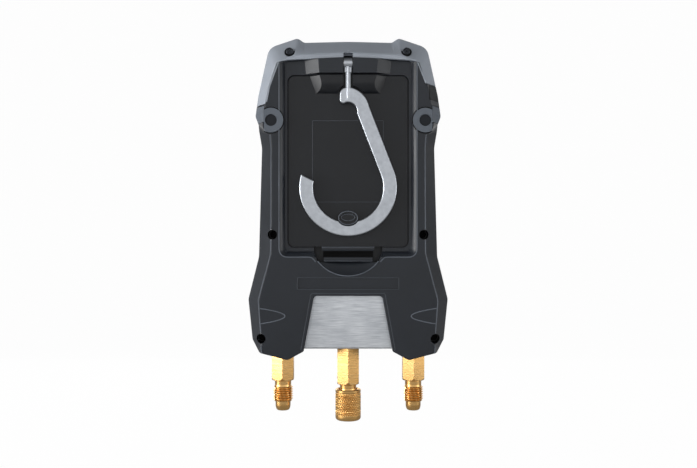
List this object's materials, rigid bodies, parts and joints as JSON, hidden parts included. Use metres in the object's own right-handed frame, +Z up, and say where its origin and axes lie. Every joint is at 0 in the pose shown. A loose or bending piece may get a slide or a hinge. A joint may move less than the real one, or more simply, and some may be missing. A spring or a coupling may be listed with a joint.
{
  "type": "refrigerant manifold gauge",
  "caption": "Two-valve digital refrigerant manifold with folding hook, battery cover, hand wheels, sight glass and brass hose ports.",
  "frame": {"origin": "middle of the folding hook's pivot pin, where the gauge hangs", "axes": "+Z up along the housing, +Y towards the display face, -Y out of the rear face with the battery cover"},
  "size_m": [0.1094, 0.069, 0.2114],
  "materials": {
    "housing_plastic": "fine spark-eroded satin",
    "frame_plastic": "fine satin",
    "cover_plastic": "satin",
    "insert_plastic": "satin",
    "cover_rubber": "matte",
    "seal_rubber": "matte",
    "hook_metal": "satin tumbled",
    "block_metal": "brushed along x",
    "port_brass": "turned, bright",
    "screw_steel": "blackened",
    "bright_steel": "turned",
    "socket_plastic": "satin",
    "window_glass": "clear",
    "sight_glass": "clear",
    "display_face": "liquid-crystal face",
    "board": "solder mask",
    "key_rubber": "matte",
    "wheel_plastic": "satin",
    "low_blue": "satin",
    "high_red": "satin",
    "cell_wrap": "printed film, bare",
    "contact_steel": "nickel plated"
  },
  "bodies": {
    "root": {"rear_shell": "housing_plastic", "front_shell": "housing_plastic", "shell_seal": "seal_rubber", "top_frame": "frame_plastic", "arm_insert": "insert_plastic", "frame_screws": "screw_steel", "housing_screws": "screw_steel", "battery_cover": "cover_plastic", "hook_pin": "bright_steel", "anchor_plugs": "socket_plastic", "valve_block": "block_metal", "fitting_service": "port_brass", "sight_glass": "sight_glass", "glass_seal": "seal_rubber", "glass_ring": "port_brass", "display_window": "window_glass", "display_module": "display_face", "main_board": "board", "key_board": "board", "key_switches": "socket_plastic", "contact_plates": "contact_steel", "contact_springs": "contact_steel", "socket_anchor_low": "cover_rubber", "probe_socket_low": "socket_plastic", "fitting_low": "port_brass", "bonnet_low": "port_brass", "sensor_low": "bright_steel", "socket_anchor_high": "cover_rubber", "probe_socket_high": "socket_plastic", "fitting_high": "port_brass", "bonnet_high": "port_brass", "sensor_high": "bright_steel", "battery_cell_1": "cell_wrap", "battery_cell_2": "cell_wrap", "battery_cell_3": "cell_wrap", "battery_cell_4": "cell_wrap"},
    "hook": {"hook": "hook_metal"},
    "latch": {"cover_latch": "cover_plastic"},
    "flap_low": {"socket_flap_low": "cover_rubber"},
    "flap_high": {"socket_flap_high": "cover_rubber"},
    "cap_travel": {"cap_gasket": "seal_rubber"},
    "port_cap": {"port_cap": "port_brass"},
    "valve_low": {"piston_low": "bright_steel", "piston_seal_low": "seal_rubber"},
    "wheel_low": {"spindle_low": "bright_steel", "handwheel_low": "wheel_plastic", "wheel_cap_low": "low_blue", "wheel_screw_low": "bright_steel"},
    "valve_high": {"piston_high": "bright_steel", "piston_seal_high": "seal_rubber"},
    "wheel_high": {"spindle_high": "bright_steel", "handwheel_high": "wheel_plastic", "wheel_cap_high": "high_red", "wheel_screw_high": "bright_steel"},
    "key_1": {"key_1": "key_rubber"},
    "key_2": {"key_2": "key_rubber"},
    "key_3": {"key_3": "key_rubber"},
    "key_4": {"key_4": "key_rubber"}
  },
  "joints": [
    {"name": "hook_swing", "type": "hinge", "parent": "root", "child": "hook", "pos_m": [0, 0, 0], "axis": [-1, 0, 0], "range_deg": [0, 165]},
    {"name": "latch_flex", "type": "hinge", "parent": "root", "child": "latch", "pos_m": [0, 0.008, -0.1002], "axis": [-1, 0, 0], "range_deg": [0, 8], "stiffness_Nm_per_rad": 0.6},
    {"name": "flap_low_fold", "type": "hinge", "parent": "root", "child": "flap_low", "pos_m": [0.0453, -0.0011, -0.0272], "axis": [0, 0, -1], "range_deg": [0, 95]},
    {"name": "flap_high_fold", "type": "hinge", "parent": "root", "child": "flap_high", "pos_m": [-0.0453, -0.0011, -0.0272], "axis": [0, 0, 1], "range_deg": [0, 95]},
    {"name": "cap_slide", "type": "slide", "parent": "root", "child": "cap_travel", "axis": [0, 0, -1], "range_m": [0, 0.00762]},
    {"name": "cap_turn", "type": "hinge", "parent": "cap_travel", "child": "port_cap", "pos_m": [0, 0.0199, -0.185], "axis": [0, 0, -1], "range_deg": [0, 2165]},
    {"name": "valve_low_travel", "type": "slide", "parent": "root", "child": "valve_low", "axis": [0, 1, 0], "range_m": [0, 0.00225]},
    {"name": "wheel_low_turn", "type": "hinge", "parent": "valve_low", "child": "wheel_low", "pos_m": [0.033, 0.05, -0.138], "axis": [0, 1, 0], "range_deg": [0, 541]},
    {"name": "valve_high_travel", "type": "slide", "parent": "root", "child": "valve_high", "axis": [0, 1, 0], "range_m": [0, 0.00225]},
    {"name": "wheel_high_turn", "type": "hinge", "parent": "valve_high", "child": "wheel_high", "pos_m": [-0.033, 0.05, -0.138], "axis": [0, 1, 0], "range_deg": [0, 541]},
    {"name": "key_1_press", "type": "slide", "parent": "root", "child": "key_1", "axis": [0, -1, 0], "range_m": [0, 0.0006], "stiffness_N_per_m": 600, "springref_m": -0.0003},
    {"name": "key_2_press", "type": "slide", "parent": "root", "child": "key_2", "axis": [0, -1, 0], "range_m": [0, 0.0006], "stiffness_N_per_m": 600, "springref_m": -0.0003},
    {"name": "key_3_press", "type": "slide", "parent": "root", "child": "key_3", "axis": [0, -1, 0], "range_m": [0, 0.0006], "stiffness_N_per_m": 600, "springref_m": -0.0003},
    {"name": "key_4_press", "type": "slide", "parent": "root", "child": "key_4", "axis": [0, -1, 0], "range_m": [0, 0.0006], "stiffness_N_per_m": 600, "springref_m": -0.0003}
  ],
  "couplings": [
    {"joint": "cap_turn", "follows": "cap_slide", "rad_per_m": 4947.4},
    {"joint": "wheel_low_turn", "follows": "valve_low_travel", "rad_per_m": 4188.8},
    {"joint": "wheel_high_turn", "follows": "valve_high_travel", "rad_per_m": 4188.8}
  ]
}
